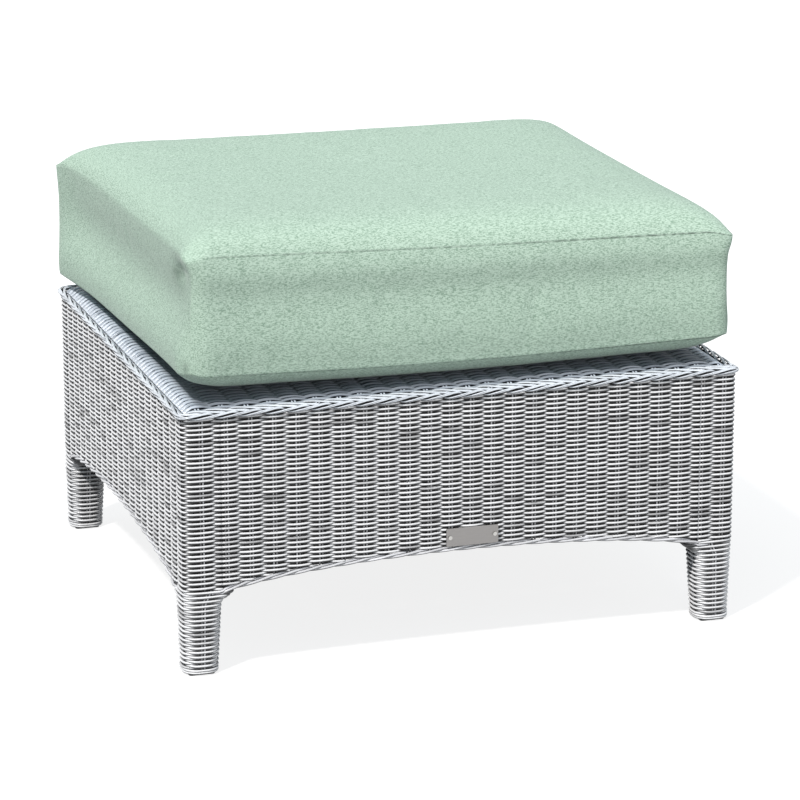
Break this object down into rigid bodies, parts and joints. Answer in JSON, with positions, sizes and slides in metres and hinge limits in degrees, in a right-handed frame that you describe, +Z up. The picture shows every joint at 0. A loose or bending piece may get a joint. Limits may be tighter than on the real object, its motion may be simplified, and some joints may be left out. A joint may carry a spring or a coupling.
{
  "type": "outdoor ottoman footstool",
  "caption": "Square-cornered woven outdoor footstool on short tapered legs with arched aprons, carrying a loose boxed seat cushion.",
  "frame": {"origin": "on the floor under the middle of the woven base", "axes": "+X to the right seen from the front, +Y to the rear, +Z up; the front with the plate faces -Y"},
  "size_m": [0.6254, 0.5786, 0.4742],
  "materials": {
    "wicker_weave": "whitewashed grey round resin strand, plain weave",
    "wicker_braid": "whitewashed grey round resin strand, braided",
    "frame_aluminium": "mill finish welded tube",
    "glide_nylon": "moulded nylon",
    "plate_metal": "brushed, bare",
    "rivet_metal": "satin",
    "cushion_fabric": "pale green melange canvas",
    "cushion_foam": "open-cell foam",
    "cushion_fibre": "polyester fibre wadding",
    "zip_tape": "woven tape with moulded chain",
    "zip_metal": "satin nickel"
  },
  "bodies": {
    "base": {"leg_post_front_left": "frame_aluminium", "foot_glide_front_left": "glide_nylon", "woven_leg_front_left": "wicker_weave", "leg_post_front_right": "frame_aluminium", "foot_glide_front_right": "glide_nylon", "woven_leg_front_right": "wicker_weave", "leg_post_rear_left": "frame_aluminium", "foot_glide_rear_left": "glide_nylon", "woven_leg_rear_left": "wicker_weave", "leg_post_rear_right": "frame_aluminium", "foot_glide_rear_right": "glide_nylon", "woven_leg_rear_right": "wicker_weave", "woven_wall_front": "wicker_weave", "arch_hem_front": "wicker_braid", "arch_rail_front": "frame_aluminium", "top_rail_front": "frame_aluminium", "woven_wall_right": "wicker_weave", "arch_hem_right": "wicker_braid", "arch_rail_right": "frame_aluminium", "top_rail_right": "frame_aluminium", "woven_wall_rear": "wicker_weave", "arch_hem_rear": "wicker_braid", "arch_rail_rear": "frame_aluminium", "top_rail_rear": "frame_aluminium", "woven_wall_left": "wicker_weave", "arch_hem_left": "wicker_braid", "arch_rail_left": "frame_aluminium", "top_rail_left": "frame_aluminium", "nameplate": "plate_metal", "plate_rivet_left": "rivet_metal", "plate_rivet_right": "rivet_metal", "deck_bar_left": "frame_aluminium", "deck_bar_right": "frame_aluminium", "woven_deck": "wicker_weave", "rim_braid": "wicker_braid"},
    "cushion": {"cushion_top_panel": "cushion_fabric", "cushion_boxing": "cushion_fabric", "cushion_bottom_panel": "cushion_fabric", "foam_core": "cushion_foam", "fibre_layer_top": "cushion_fibre", "fibre_layer_bottom": "cushion_fibre", "cushion_zip": "zip_tape", "zip_stop_left": "zip_metal", "zip_stop_right": "zip_metal"},
    "slider": {"zip_slider": "zip_metal"},
    "pull": {"zip_pull": "zip_metal"}
  },
  "joints": [
    {"name": "cushion_lift", "type": "slide", "parent": "base", "child": "cushion", "axis": [0, 0, 1], "range_m": [0, 0.25]},
    {"name": "zip_slide", "type": "slide", "parent": "cushion", "child": "slider", "axis": [1, 0, 0], "range_m": [0, 0.4394]},
    {"name": "pull_turn", "type": "hinge", "parent": "slider", "child": "pull", "pos_m": [-0.2197, 0.2773, 0.37], "axis": [0, 0, 1], "range_deg": [0, 175]}
  ]
}
